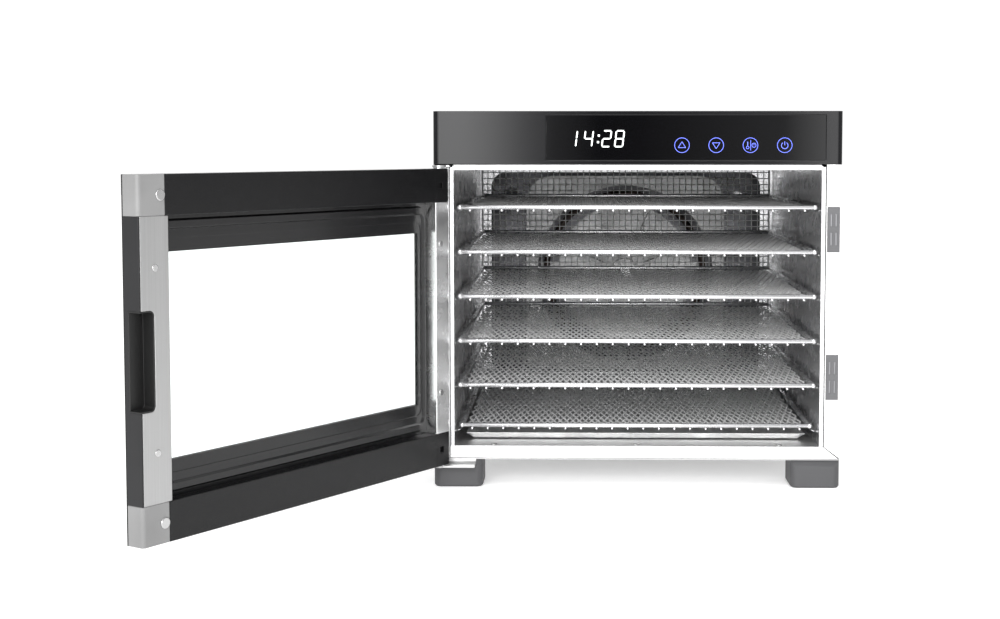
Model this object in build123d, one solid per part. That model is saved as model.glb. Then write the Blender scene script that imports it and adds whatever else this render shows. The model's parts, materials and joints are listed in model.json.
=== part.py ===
from build123d import *
import os

# Food dehydrator: a cabinet with six sliding wire trays, a drip tray, a rear fan and a glass door
# hinged on the left. Millimetres. It is laid out with X to the right, Y to the back from the
# cabinet's front plane, and Z up from the table. write_nodes() then moves everything so that the
# origin is the middle of the footprint of the whole object, door open, on the table.

# ---- driving dimensions ----------------------------------------------------------------------
cabinet_width = 340.0
cabinet_depth = 432.0
cabinet_height = 315.0
skin = 1.0
liner_sheet = 1.0

foot_height = 23.0
foot_width = 41.0
foot_depth = 40.0
foot_overhang = 2.0
foot_chamfer = 4.5
foot_corner = 6.0
foot_edge = 1.5

fascia_height = 44.0
fascia_depth = 12.0
fascia_wall = 2.5
fascia_corner = 5.0
window_left = -76.0
window_right = 156.0
window_height = 38.0
window_thickness = 2.0
window_ledge = 2.0
window_seam = 0.15
touch_pad_radius = 6.3
touch_pad_pitch = 28.3
touch_pad_count = 4
touch_pad_inset = 34.3
touch_pad_drop = 6.3
display_board_gap = 6.0
display_board_margin = 5.0
display_air = 0.2
digits_inset = 22.0
digits_width = 52.0
digits_height = 22.0
display_chip = 9.0
display_chip_height = 2.0
display_chip_places = (-30.0, 15.0, 75.0)

flange_width = 13.3
flange_thickness = 1.5
bottom_flange_height = 10.0
bottom_flange_lift = 1.5
mitre_gap = 0.6
fascia_seam = 0.3
flange_seam = 0.5

cavity_side = 17.0
cavity_depth = 348.0
cavity_floor_rise = 11.5
ceiling_gap = 2.5
liner_start = 2.0
ceiling_lip = 2.5
liner_tie = 12.0

tray_count = 6
tray_pitch = 37.4
tray_side_gap = 2.6
tray_end_room = 28.0
first_tray_height = 48.0
rod_radius = 2.0
rod_ball_radius = 2.4
wire_radius = 1.0
wire_pitch = 13.3
wire_count = 22
weld_sink = 0.3
mesh_thickness = 0.5
mesh_edge_gap = 0.7
mesh_lift = 0.05
tray_setback = 3.0
lowest_tray_setback = 22.0
runner_width = 5.2
runner_height = 1.8
runner_start = 14.0
floor_screw_inset = 6.0
runner_end_gap = 6.0
runner_round = 0.6
slide_gap = 0.3
screw_head = 0.6
floor_screw_radius = 2.8
floor_screw_spread = 120.0
rivet_radius = 1.2
rivet_height = 0.5
rivet_spread = 134.0

louvre_length = 60.0
louvre_width = 4.0
louvre_columns = (-80.0, 0.0, 80.0)
louvre_rows = range(140, 321, 20)
intake_length = 44.0
intake_width = 3.2
intake_columns = (-90.0, -30.0, 30.0, 90.0)
intake_rows = range(110, 201, 10)

board_thickness = 1.6
standoff_height = 8.0
standoff_inset = 6.0
power_board_size = (140.0, 110.0)
power_board_middle = (40.0, 250.0)
transformer_size = (42.0, 35.0, 28.0)
transformer_place = (-55.0, -40.0)
relay_size = (20.0, 22.0, 16.0)
relay_place = (8.0, -42.0)
heat_sink_size = (60.0, 6.0, 24.0)
heat_sink_place = (-50.0, 20.0)
standoff_radius = 2.5
can_radius = 6.0
can_height = 22.0
can_places = ((40.0, -30.0), (40.0, -10.0), (24.0, 30.0))

drip_side_gap = 8.0
drip_end_room = 42.0
drip_height = 5.4
drip_sheet = 0.8
drip_slope = 6.0
drip_setback = 28.0

guard_pitch = 6.3
guard_wire = 1.0
guard_border = 4.0
guard_gap = 0.5
air_opening_width = 282.0
air_opening_height = 214.0
air_opening_corner = 15.0
baffle_width = 210.0
baffle_height = 207.0
baffle_corner = 28.0
baffle_setback = 13.0
fan_opening_radius = 93.0
plenum_depth = 51.0
plenum_margin = 3.0
impeller_radius = 72.0
impeller_depth = 18.0
impeller_gap = 6.0
blade_count = 8
shaft_radius = 3.0
shaft_clearance = 0.05
motor_radius = 30.0
motor_depth = 24.0
heater_radius = 84.0
heater_tube = 3.2
heater_leg_spread = 28.0
heater_leg_reach = 10.0
baffle_post_radius = 3.0
baffle_post_inset = (9.0, 13.0)
blade_root = 22.0
blade_tip_gap = 4.0
blade_pitch_angle = 22.0
blade_thickness = 1.5
impeller_sheet = 1.2
hub_radius = 14.0
nut_radius = 6.5
nut_height = 5.0
press_gap = 0.02
boss_radius = 8.0
boss_room = 0.5
bracket_strap = (180.0, 18.0)
bracket_upright = (18.0, 120.0)
motor_core_width = 52.0
motor_core_drop = 48.0
motor_core_inset = 4.0
motor_end_wall = 3.0
boss_reach = 3.0
shaft_end_gap = 1.0
sensor_spread = 122.0
sensor_rise = 80.0
thermostat_radius = 9.0
thermostat_depth = 8.0
terminal = (8.0, 3.0, 6.0)
probe_radius = 2.5
probe_length = 36.0
probe_collar_radius = 6.0
probe_collar_depth = 3.0

gland_radius = 7.0
gland_bore = 4.1
gland_x = 120.0
gland_z = 60.0
gland_length = 16.0
gland_stand = 6.0
gland_collar = (11.0, 3.0)
gland_nut = (10.0, 4.0)
gland_room = 0.1

door_gap = 1.5
door_thickness = 16.0
door_side_gap = 1.0
door_bottom = 21.5
door_top_gap = 3.5
door_open_angle = 122.0
door_skin = 1.5
rail_width = 27.5
hinge_stile_width = 20.0
handle_stile_width = 26.3
free_corner_width = 23.7
channel_wall = 1.5
bezel_side_width = 10.0
bezel_end_width = 25.0
bezel_base = 1.2
bezel_step = 0.6
bezel_step_side = 6.2
bezel_step_end = 16.0
bezel_step_corner = 7.0
bead_start_side = 1.0
bead_start_end = 3.0
bead_width_side = 4.0
bead_width_end = 7.0
bead_height = 1.5
bead_round = 1.2
bead_corner = 10.0
glass_thickness = 2.0
glass_lap = 6.0
panel_corner = 1.2
corner_screw_radius = 4.0
corner_screw_height = 0.9
corner_screw_inset = 19.5
stile_screw_radius = 2.6
stile_screw_height = 0.7
handle_screw_inset = 14.1
hinge_screw_inset = 13.7
corner_pocket = 5.0
corner_pocket_inset = 13.0
corner_pocket_depth = 3.0
hinge_inset = 5.0
hinge_corner = 5.0
free_corner = 3.0
edge_profile = 1.5
notch_height = 67.0
notch_reach = 13.0
notch_depth = 11.0
notch_liner = 1.0
notch_corner = 4.0

pin_radius = 2.5
pin_clearance = 0.05
pin_depth = 12.5
pin_end_gap = 0.5
washer_radius = 5.4
washer_gap = 0.1
washer_thickness = 1.1
bracket_thickness = 1.5
running_gap = 0.2
bracket_inset = 2.0
bracket_width = 33.0
bracket_reach = 8.0
bracket_front = 5.0
bracket_side_gap = 0.2
lower_nose = (3.5, 3.0)
upper_nose_radius = 5.8
upper_arm_inset = 2.5

catch_width = 10.5
catch_height = 38.0
catch_thickness = 1.0
catch_inset = 2.0
catch_centres = (93.3, 216.8)
pole_width = 1.6
pole_height = 10.4
pole_spread = 2.05
pole_rise = 7.8
pole_gap = 0.05
pole_sink = 0.15
catch_bevel = 0.3

# ---- places worked out from them -------------------------------------------------------------
half_width = cabinet_width / 2
half_cavity = half_width - cavity_side
fascia_bottom = cabinet_height - fascia_height
cavity_floor = foot_height + cavity_floor_rise
cavity_ceiling = fascia_bottom - ceiling_gap
tray_width = 2 * (half_cavity - tray_side_gap)
tray_depth = cavity_depth - tray_end_room
drip_width = 2 * (half_cavity - drip_side_gap)
drip_depth = cavity_depth - drip_end_room
flange_inner = half_width - flange_width
right_flange_top = fascia_bottom - fascia_seam
flange_bottom = foot_height + bottom_flange_lift
side_inner = half_width - skin
rear_inner = cabinet_depth - skin
rear_wall_front = liner_start + cavity_depth
plenum_front = rear_wall_front + liner_sheet
bulkhead_front = plenum_front + plenum_depth
bulkhead_back = bulkhead_front + liner_sheet
motor_back = bulkhead_back + motor_depth
roof = cavity_ceiling + liner_sheet
fan_height = (cavity_floor + cavity_ceiling) / 2
baffle_front = rear_wall_front + baffle_setback
impeller_back = bulkhead_front - impeller_gap
impeller_front = impeller_back - impeller_depth
heater_drop = (heater_radius ** 2 - (heater_leg_spread / 2) ** 2) ** 0.5
heater_legs = (-heater_leg_spread / 2, heater_leg_spread / 2)
window_middle = fascia_bottom + fascia_height / 2
window_bottom = window_middle - window_height / 2
window_top = window_middle + window_height / 2
display_board_front = window_thickness + display_board_gap
display_board_back = display_board_front + board_thickness
half_door = half_width - door_side_gap
door_top = fascia_bottom - door_top_gap
door_height = door_top - door_bottom
door_inner = -door_gap
door_outer = -door_gap - door_thickness
frame_outer = door_outer + door_skin
pivot_x = -half_door + hinge_inset
pivot_y = (door_inner + door_outer) / 2
glass_front = frame_outer + glass_thickness
frame_left = -half_door + hinge_stile_width
frame_right = half_door - handle_stile_width
frame_bottom = door_bottom + rail_width
frame_top = door_top - rail_width
opening_left = frame_left + bezel_side_width
opening_right = frame_right - bezel_side_width
opening_bottom = frame_bottom + bezel_end_width
opening_top = frame_top - bezel_end_width
strip_inner = half_door - edge_profile
notch_floor = door_inner - notch_depth
notch_middle = (door_bottom + door_top) / 2
upper_bracket_bottom = door_top + washer_thickness + running_gap / 2
lower_bracket_top = door_bottom - washer_thickness - running_gap
left_flange_top = upper_bracket_bottom - running_gap
bracket_left = -half_width + bracket_inset
bracket_right = bracket_left + bracket_width
# ---- helpers ---------------------------------------------------------------------------------
def block(x, y, z):
    """A box between the low and high value of each axis."""
    size = (x[1] - x[0], y[1] - y[0], z[1] - z[0])
    return Pos(x[0], y[0], z[0]) * Box(*size, align=(Align.MIN,) * 3)


def post(radius, x, y, z):
    """An upright cylinder between two heights."""
    return Pos(x, y, z[0]) * Cylinder(radius, z[1] - z[0], align=(Align.CENTER, Align.CENTER, Align.MIN))


def bar_y(radius, x, z, y):
    """A cylinder along Y between two depths."""
    middle = (y[0] + y[1]) / 2
    return Pos(x, middle, z) * Rot(90, 0, 0) * Cylinder(radius, y[1] - y[0])


def bar_x(radius, y, z, x):
    """A cylinder along X between two places."""
    middle = (x[0] + x[1]) / 2
    return Pos(middle, y, z) * Rot(0, 90, 0) * Cylinder(radius, x[1] - x[0])


def front_plate(outline, y):
    """A sheet that faces front: an XZ outline drawn from the front, between two depths."""
    return Pos(0, y[1], 0) * extrude(Plane.XZ * outline, y[1] - y[0])


def rounded_panel(width, height, corner, middle_z):
    """A rounded rectangle, centred on the cabinet at a height."""
    return Pos(0, middle_z) * RectangleRounded(width, height, corner)


def dome(radius, height):
    """A screw head: a low cylinder with its rim rounded, standing on the XY plane."""
    head = Cylinder(radius, height, align=(Align.CENTER, Align.CENTER, Align.MIN))
    return fillet(head.edges().sort_by(Axis.Z)[-1], height * 0.85)


def mirrored(part):
    """The same part on the other side of the cabinet."""
    return mirror(part, about=Plane.YZ)


def upright_edges(part, x):
    """The vertical edges of a part that stand at one x."""
    return [e for e in part.edges().filter_by(Axis.Z) if abs(e.center().X - x) < 0.01]


# ---- cabinet ---------------------------------------------------------------------------------
def side_panel():
    panel = block((side_inner, half_width), (flange_thickness, rear_inner), (foot_height, cabinet_height - skin))
    fascia_end = block((0, cabinet_width), (-1, fascia_depth), (fascia_bottom, cabinet_height))
    return panel - fascia_end


def top_panel():
    return block((-half_width, half_width), (fascia_depth, cabinet_depth), (cabinet_height - skin, cabinet_height))


def base_pan():
    pan = block((-side_inner, side_inner), (flange_thickness, rear_inner), (foot_height, foot_height + skin))
    louvre = Pos(0, 0, foot_height) * extrude(SlotOverall(louvre_length, louvre_width), skin)
    return pan - [Pos(x, y, 0) * louvre for x in louvre_columns for y in louvre_rows]


def rear_panel():
    sheet = block((-half_width, half_width), (rear_inner, cabinet_depth), (foot_height, cabinet_height - skin))
    slot = Rot(90, 0, 0) * extrude(SlotOverall(intake_length, intake_width), 2 * skin, both=True)
    slots = [Pos(x, rear_inner, z) * slot for x in intake_columns for z in intake_rows]
    return sheet - slots - bar_y(gland_radius, gland_x, gland_z, (rear_inner - 1, cabinet_depth + 1))


def side_flange(top):
    """The right flange, with a mitre at its foot."""
    outline = make_face(Polyline((half_width, flange_bottom), (half_width, top), (flange_inner, top),
                                 (flange_inner, flange_bottom + bottom_flange_height), close=True))
    return front_plate(outline, (0, flange_thickness))


def front_flanges():
    """Left, right and bottom. The left one stops under the upper hinge bracket."""
    top = flange_bottom + bottom_flange_height
    outer, inner = half_width - 2 * mitre_gap, flange_inner - mitre_gap
    lower = make_face(Polyline((-outer, flange_bottom), (outer, flange_bottom), (inner, top), (-inner, top),
                               close=True))
    right, left = side_flange(right_flange_top), mirrored(side_flange(left_flange_top))
    lower = front_plate(lower, (0, flange_thickness)) - right - left
    return Compound(children=[*right.solids(), *left.solids(), *lower.solids()])


def window_block(inset, depth):
    """The window's outline, drawn in by an inset, between two depths."""
    return block((window_left + inset, window_right - inset), depth, (window_bottom + inset, window_top - inset))


def control_fascia():
    body = block((-half_width, half_width), (0, fascia_depth), (fascia_bottom, cabinet_height))
    corners = [e for x in (-half_width, half_width) for e in upright_edges(body, x) if e.center().Y < 1]
    body = fillet(corners, fascia_corner)
    inside = half_width - fascia_wall
    body -= block((-inside, inside), (fascia_wall, fascia_depth),
                  (fascia_bottom + fascia_wall, cabinet_height - fascia_wall))
    return body - window_block(window_ledge, (0, fascia_wall)) - window_block(0, (0, window_thickness))


def display_window():
    return window_block(window_seam, (0, window_thickness))


def touch_pad_places():
    height = window_middle - touch_pad_drop
    last = window_right - touch_pad_inset
    return [(last - touch_pad_pitch * i, height) for i in range(touch_pad_count)]


def touch_pads():
    span = (window_thickness + display_air, display_board_front)
    return Compound(children=[bar_y(touch_pad_radius, x, z, span) for x, z in touch_pad_places()])


def display_board():
    """The board with its chips on the back, and the digit module that reaches to the window."""
    board = block((window_left + display_board_margin, window_right - display_board_margin),
                  (display_board_front, display_board_back),
                  (window_bottom + window_ledge, window_top - window_ledge))
    chips = [block((x, x + display_chip), (display_board_back, display_board_back + display_chip_height),
                   (window_middle, window_middle + display_chip)) for x in display_chip_places]
    left = window_left + digits_inset
    digits = block((left, left + digits_width), (window_thickness + display_air, display_board_front),
                   (window_middle - digits_height / 2, window_middle + digits_height / 2))
    return board + digits + chips


def power_board():
    """Board, transformer, relay, heat sink and capacitors, in the space over the cavity."""
    x, y = power_board_middle
    bottom = roof + standoff_height
    top = bottom + board_thickness
    width, depth = power_board_size
    board = block((x - width / 2, x + width / 2), (y - depth / 2, y + depth / 2), (bottom, top))

    def component(size, place):
        left, front = x + place[0], y + place[1]
        return block((left, left + size[0]), (front, front + size[1]), (top, top + size[2]))

    cans = [post(can_radius, x + dx, y + dy, (top, top + can_height)) for dx, dy in can_places]
    return board + [component(transformer_size, transformer_place), component(relay_size, relay_place),
                    component(heat_sink_size, heat_sink_place), *cans]


def board_standoffs():
    x, y = power_board_middle
    dx, dy = (size / 2 - standoff_inset for size in power_board_size)
    return Compound(children=[post(standoff_radius, x + i * dx, y + j * dy, (roof, roof + standoff_height))
                              for i in (-1, 1) for j in (-1, 1)])


def liner_side():
    """The right wall of the cavity, with a lip beside the flange and a tie to the side panel."""
    wall = block((half_cavity, half_cavity + liner_sheet), (liner_start, rear_wall_front),
                 (cavity_floor - liner_sheet, roof))
    lip = block((half_cavity, flange_inner - flange_seam), (liner_start, liner_start + liner_sheet),
                (cavity_floor, cavity_ceiling))
    tie = block((half_cavity, side_inner), (liner_tie, liner_tie + liner_sheet), (cavity_floor, cavity_ceiling))
    return wall + lip + tie


def liner_ceiling():
    sheet = block((-half_cavity, half_cavity), (liner_start, rear_wall_front), (cavity_ceiling, roof))
    lip = block((-half_cavity, half_cavity), (liner_start, liner_start + liner_sheet),
                (cavity_ceiling - ceiling_lip, fascia_bottom - fascia_seam))
    return sheet + lip


def liner_floor():
    return block((-half_cavity, half_cavity), (liner_start, rear_wall_front),
                 (cavity_floor - liner_sheet, cavity_floor))


def cavity_fasteners():
    """Dome screws along the front of the floor, and rivets along the ceiling's lip."""
    screw = Pos(0, liner_start + floor_screw_inset, cavity_floor) * dome(floor_screw_radius, screw_head)
    rivet = Pos(0, liner_start, cavity_ceiling - ceiling_lip / 2) * Rot(90, 0, 0) * dome(rivet_radius, rivet_height)
    return Compound(children=[Pos(side * spread, 0, 0) * head for side in (-1, 0, 1)
                              for head, spread in ((screw, floor_screw_spread), (rivet, rivet_spread))])


def tray_height(level):
    """Height of a tray's rods. Level 0 is the lowest."""
    return first_tray_height + tray_pitch * level


def tray_runners():
    runners = []
    for level in range(tray_count):
        top = tray_height(level) - rod_ball_radius - slide_gap
        ledge = block((half_cavity - runner_width, half_cavity), (runner_start, rear_wall_front - runner_end_gap),
                      (top - runner_height, top))
        nose = [e for e in ledge.edges().filter_by(Axis.Y) if e.center().X < half_cavity - 1]
        runners.append(fillet(nose, runner_round))
    return Compound(children=[*runners, *(mirrored(ledge) for ledge in runners)])


def rear_wall():
    sheet = block((-half_cavity - liner_sheet, half_cavity + liner_sheet), (rear_wall_front, plenum_front),
                  (cavity_floor - liner_sheet, roof))
    opening = rounded_panel(air_opening_width, air_opening_height, air_opening_corner, fan_height)
    return sheet - front_plate(opening, (rear_wall_front - 1, plenum_front + 1))


def wire_guard():
    back = rear_wall_front
    half_x = half_cavity - guard_gap
    low, high = cavity_floor + guard_gap, cavity_ceiling - guard_gap
    border = block((-half_x, half_x), (back - 2 * guard_wire, back), (low, high))
    inner = half_x - guard_border
    border -= block((-inner, inner), (back - 3 * guard_wire, back + 1), (low + guard_border, high - guard_border))
    pieces = [border]
    across = int(2 * inner / guard_pitch)
    up = int((high - low - 2 * guard_border) / guard_pitch)
    first_x = -guard_pitch * (across - 1) / 2
    first_z = (low + high) / 2 - guard_pitch * (up - 1) / 2
    half = guard_wire / 2
    for i in range(across):
        x = first_x + guard_pitch * i
        pieces.append(block((x - half, x + half), (back - guard_wire, back),
                            (low + guard_border, high - guard_border)))
    for i in range(up):
        z = first_z + guard_pitch * i
        pieces.append(block((-inner, inner), (back - 2 * guard_wire, back - guard_wire), (z - half, z + half)))
    return Compound(children=pieces)


def air_baffle():
    half = baffle_width / 2
    low, high = fan_height - baffle_height / 2, fan_height + baffle_height / 2
    sheet = block((-half, half), (baffle_front, baffle_front + liner_sheet), (low, high))
    sheet = fillet([e for e in sheet.edges().filter_by(Axis.Y) if e.center().Z > fan_height], baffle_corner)
    sheet = fillet([e for e in sheet.edges().filter_by(Axis.Y) if abs(e.center().Z - low) < 0.01],
                   air_opening_corner)
    return sheet - bar_y(fan_opening_radius, 0, fan_height, (baffle_front - 1, baffle_front + 2))


def baffle_posts():
    x, rise = baffle_width / 2 - baffle_post_inset[0], baffle_height / 2 - baffle_post_inset[1]
    span = (baffle_front + liner_sheet, bulkhead_front)
    return Compound(children=[bar_y(baffle_post_radius, i * x, fan_height + j * rise, span)
                              for i in (-1, 1) for j in (-1, 1)])


def plenum_walls():
    outer_x = half_cavity - plenum_margin
    low, high = cavity_floor + plenum_margin, cavity_ceiling - plenum_margin
    depth = (plenum_front, bulkhead_front)
    sheet = liner_sheet
    sides = [block((i * outer_x - sheet / 2, i * outer_x + sheet / 2), depth, (low, high)) for i in (-1, 1)]
    inner = outer_x - sheet / 2
    caps = [block((-inner, inner), depth, (low, low + sheet)), block((-inner, inner), depth, (high - sheet, high))]
    return Compound(children=[*sides, *caps])


def fan_bulkhead():
    half = half_cavity - plenum_margin + liner_sheet / 2
    sheet = block((-half, half), (bulkhead_front, bulkhead_back),
                  (cavity_floor + plenum_margin, cavity_ceiling - plenum_margin))
    through = (bulkhead_front - 1, bulkhead_back + 1)
    sheet -= bar_y(boss_radius + boss_room, 0, fan_height, through)
    return sheet - [bar_y(heater_tube + press_gap, x, fan_height - heater_drop, through) for x in heater_legs]


def motor_bracket():
    """A cross of two straps in front of the bulkhead, round the motor's boss."""
    depth = (bulkhead_front - bracket_thickness, bulkhead_front)
    straps = [block((-width / 2, width / 2), depth, (fan_height - height / 2, fan_height + height / 2))
              for width, height in (bracket_strap, bracket_upright)]
    return straps[0] + straps[1] - bar_y(boss_radius + boss_room, 0, fan_height, (depth[0] - 1, depth[1] + 1))


def fan_motor():
    case = bar_y(motor_radius, 0, fan_height, (bulkhead_back, motor_back))
    half = motor_core_width / 2
    core = block((-half, half), (bulkhead_back + motor_core_inset, motor_back - motor_core_inset),
                 (fan_height - motor_core_drop, fan_height))
    boss = bar_y(boss_radius, 0, fan_height, (bulkhead_front - boss_reach, bulkhead_back))
    bore = bar_y(shaft_radius + shaft_clearance, 0, fan_height,
                 (bulkhead_front - boss_reach - 1, motor_back - motor_end_wall))
    return case + core + boss - bore


def motor_shaft():
    return bar_y(shaft_radius, 0, fan_height, (impeller_front - nut_height - shaft_end_gap,
                                               motor_back - motor_end_wall - shaft_end_gap))


def fan_impeller():
    disc = bar_y(impeller_radius, 0, fan_height, (impeller_back - impeller_sheet, impeller_back))
    hub = bar_y(hub_radius, 0, fan_height, (impeller_front, impeller_back))
    blade = block((blade_root, impeller_radius - blade_tip_gap), (impeller_front, impeller_back - impeller_sheet),
                  (-blade_thickness / 2, blade_thickness / 2))
    step = 360 / blade_count
    blades = [Pos(0, 0, fan_height) * Rot(0, step * i, 0) * (Rot(0, blade_pitch_angle, 0) * blade)
              for i in range(blade_count)]
    bore = bar_y(shaft_radius + press_gap, 0, fan_height, (impeller_front - 1, impeller_back + 1))
    return disc + hub + blades - bore


def impeller_nut():
    nut = Pos(0, impeller_front, fan_height) * Rot(90, 0, 0) * extrude(RegularPolygon(nut_radius, 6), nut_height)
    return nut - bar_y(shaft_radius + press_gap, 0, fan_height, (impeller_front - nut_height - 1, impeller_front + 1))


def heating_element():
    """A ring round the impeller, open at the bottom, with two legs through the bulkhead."""
    middle = (impeller_front + impeller_back) / 2
    room = 3 * heater_tube
    ring = Pos(0, middle, fan_height) * Rot(90, 0, 0) * Torus(heater_radius, heater_tube)
    gap = block(heater_legs, (middle - room, middle + room),
                (fan_height - heater_radius - room, fan_height - heater_radius + room))
    legs = [bar_y(heater_tube, x, fan_height - heater_drop, (middle, bulkhead_back + heater_leg_reach))
            for x in heater_legs]
    return (ring - gap) + legs


def thermostat():
    x, z = -sensor_spread, fan_height + sensor_rise
    front = bulkhead_front - thermostat_depth
    width, depth, height = terminal
    body = bar_y(thermostat_radius, x, z, (front, bulkhead_front))
    return body + block((x - width / 2, x + width / 2), (front - depth, front), (z - height / 2, z + height / 2))


def temperature_sensor():
    x, z = sensor_spread, fan_height + sensor_rise
    probe = bar_y(probe_radius, x, z, (bulkhead_front - probe_length, bulkhead_front))
    return probe + bar_y(probe_collar_radius, x, z, (bulkhead_front - probe_collar_depth, bulkhead_front))


def cord_gland():
    """A threaded barrel through the rear panel, with a collar outside and a nut inside."""
    back = cabinet_depth + gland_stand
    front = back - gland_length
    barrel = bar_y(gland_radius - gland_room, gland_x, gland_z, (front, back))
    collar = bar_y(gland_collar[0], gland_x, gland_z, (cabinet_depth, cabinet_depth + gland_collar[1]))
    nut = bar_y(gland_nut[0], gland_x, gland_z, (rear_inner - gland_nut[1], rear_inner))
    return barrel + collar + nut - bar_y(gland_bore, gland_x, gland_z, (front - 1, back + 1))


def foot(left, front):
    """One foot in place. The front ones stand a little ahead of the front plane."""
    y = -foot_overhang if front else cabinet_depth - foot_depth
    body = block((half_width - foot_width, half_width), (y, y + foot_depth), (0, foot_height))
    body = fillet(body.edges().filter_by(Axis.Z), foot_corner)
    body = chamfer(body.faces().sort_by(Axis.Z)[0].edges(), foot_edge)
    if front:
        ahead = -foot_overhang + foot_chamfer
        wedge = make_face(Polyline((ahead, foot_height), (-foot_overhang - 0.1, foot_height),
                                   (-foot_overhang - 0.1, foot_height - foot_chamfer - 0.1), close=True))
        body -= Pos(half_width - foot_width - 1, 0, 0) * extrude(Plane.YZ * wedge, foot_width + 2)
    body = mirrored(body) if left else body
    return body - bracket_slot() if left and front else body


def feet():
    return Compound(children=[foot(left, front) for left in (True, False) for front in (True, False)])


def bracket_slot():
    """Room in the left front foot for the lower hinge bracket."""
    gap = running_gap
    bottom = lower_bracket_top - bracket_thickness - gap
    return block((bracket_left - gap, bracket_right + gap), (-door_thickness, bracket_reach + gap),
                 (bottom, foot_height + 1))


def hinge_bracket_lower():
    bottom = lower_bracket_top - bracket_thickness
    ear = block((bracket_left, bracket_right), (pivot_y - bracket_front, bracket_reach), (bottom, lower_bracket_top))
    nose = post(lower_nose[0], pivot_x, pivot_y - lower_nose[1], (bottom, lower_bracket_top))
    riser = block((bracket_left, bracket_right), (bracket_reach - bracket_thickness, bracket_reach),
                  (lower_bracket_top, foot_height))
    hole = post(pin_radius + press_gap, pivot_x, pivot_y, (bottom - 1, lower_bracket_top + 1))
    return ear + nose + riser - hole


def hinge_bracket_upper():
    height = (upper_bracket_bottom, upper_bracket_bottom + bracket_thickness)
    arm = block((-side_inner + bracket_side_gap, -half_cavity - upper_arm_inset), (pivot_y, liner_tie - liner_sheet),
                height)
    nose = post(upper_nose_radius, pivot_x, pivot_y, height)
    hole = post(pin_radius + press_gap, pivot_x, pivot_y, (height[0] - 1, height[1] + 1))
    return arm + nose - hole


def hinge_pins():
    upper = post(pin_radius, pivot_x, pivot_y, (door_top - pin_depth, upper_bracket_bottom + bracket_thickness))
    lower = post(pin_radius, pivot_x, pivot_y, (lower_bracket_top - bracket_thickness, door_bottom + pin_depth))
    return Compound(children=[upper, lower])


def hinge_washers():
    rings = []
    for low in (lower_bracket_top, upper_bracket_bottom - washer_thickness):
        ring = post(washer_radius, pivot_x, pivot_y, (low, low + washer_thickness))
        rings.append(ring - post(pin_radius + washer_gap, pivot_x, pivot_y, (low - 1, low + washer_thickness + 1)))
    return Compound(children=rings)


catch_right = half_width - catch_inset


def pole_blocks(clearance, y):
    """The four magnet poles of each catch."""
    middle = catch_right - catch_width / 2
    half_x, half_z = pole_width / 2 - clearance, pole_height / 2 - clearance
    return [block((middle + i * pole_spread - half_x, middle + i * pole_spread + half_x), y,
                  (z + j * pole_rise - half_z, z + j * pole_rise + half_z))
            for z in catch_centres for i in (-1, 1) for j in (-1, 1)]


def catch_plates():
    plates = []
    for z in catch_centres:
        plate = block((catch_right - catch_width, catch_right), (-catch_thickness, 0),
                      (z - catch_height / 2, z + catch_height / 2))
        plate = chamfer(plate.faces().sort_by(Axis.Y)[0].edges(), catch_bevel)
        plates += (plate - pole_blocks(0, (-catch_thickness - 1, 1))).solids()
    return Compound(children=plates)


def catch_poles():
    return Compound(children=pole_blocks(pole_gap, (-catch_thickness + pole_sink, 0)))


# ---- door, drawn closed ----------------------------------------------------------------------
def channel(x, z):
    """A frame member: a channel open to the door's outer panel."""
    body = block(x, (frame_outer, door_inner), z)
    wall = channel_wall
    return body - block((x[0] + wall, x[1] - wall), (frame_outer - 1, door_inner - wall), (z[0] + wall, z[1] - wall))


def door_panel():
    """The outer sheet, with the clear opening."""
    sheet = block((-half_door, half_door), (door_outer, frame_outer), (door_bottom, door_top))
    sheet -= block((opening_left, opening_right), (door_outer - 1, frame_outer + 1), (opening_bottom, opening_top))
    edges = [e for x in (-half_door, half_door) for e in upright_edges(sheet, x) if e.center().Y < frame_outer - 1]
    return fillet(edges, panel_corner)


def door_rail(bottom):
    return channel((frame_left, half_door - free_corner_width), (bottom, bottom + rail_width))


def hinge_corner_cap(bottom):
    """A solid corner of the frame. It takes a pin, and has a small square pocket."""
    body = block((-half_door, frame_left), (frame_outer, door_inner), (bottom, bottom + rail_width))
    body = fillet([e for e in upright_edges(body, -half_door) if e.center().Y > door_inner - 1], hinge_corner)
    reach = pin_depth + pin_end_gap
    top = bottom > notch_middle
    span = (door_top - reach, door_top + 1) if top else (door_bottom - 1, door_bottom + reach)
    body -= post(pin_radius + pin_clearance, pivot_x, pivot_y, span)
    x, z, half = -half_door + corner_pocket_inset, bottom + rail_width / 2, corner_pocket / 2
    return body - block((x - half, x + half), (door_inner - corner_pocket_depth, door_inner + 1),
                        (z - half, z + half))


def free_corner_cap(bottom):
    body = block((half_door - free_corner_width, half_door), (frame_outer, door_inner),
                 (bottom, bottom + rail_width))
    return fillet([e for e in upright_edges(body, half_door) if e.center().Y > door_inner - 1], free_corner)


def hinge_stile():
    """The frame's hinge side: a channel with a rounded edge towards the cabinet."""
    body = block((-half_door, frame_left), (frame_outer, door_inner), (frame_bottom, frame_top))
    body = fillet([e for e in upright_edges(body, -half_door) if e.center().Y > door_inner - 1], hinge_corner)
    wall = channel_wall
    return body - block((-half_door + hinge_corner, frame_left - wall), (frame_outer - 1, door_inner - wall),
                        (frame_bottom + wall, frame_top - wall))


def notch(grow, depth):
    """The finger recess in the free edge, open to the inner face and to the edge."""
    shape = block((half_door - notch_reach - grow, half_door + 5), depth,
                  (notch_middle - notch_height / 2 - grow, notch_middle + notch_height / 2 + grow))
    inner = [e for e in shape.edges().filter_by(Axis.Y) if e.center().X < half_door]
    return fillet(inner, notch_corner + grow)


def handle_stile():
    return channel((frame_right, strip_inner), (frame_bottom, frame_top)) - notch(0, (notch_floor, door_inner + 1))


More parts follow.
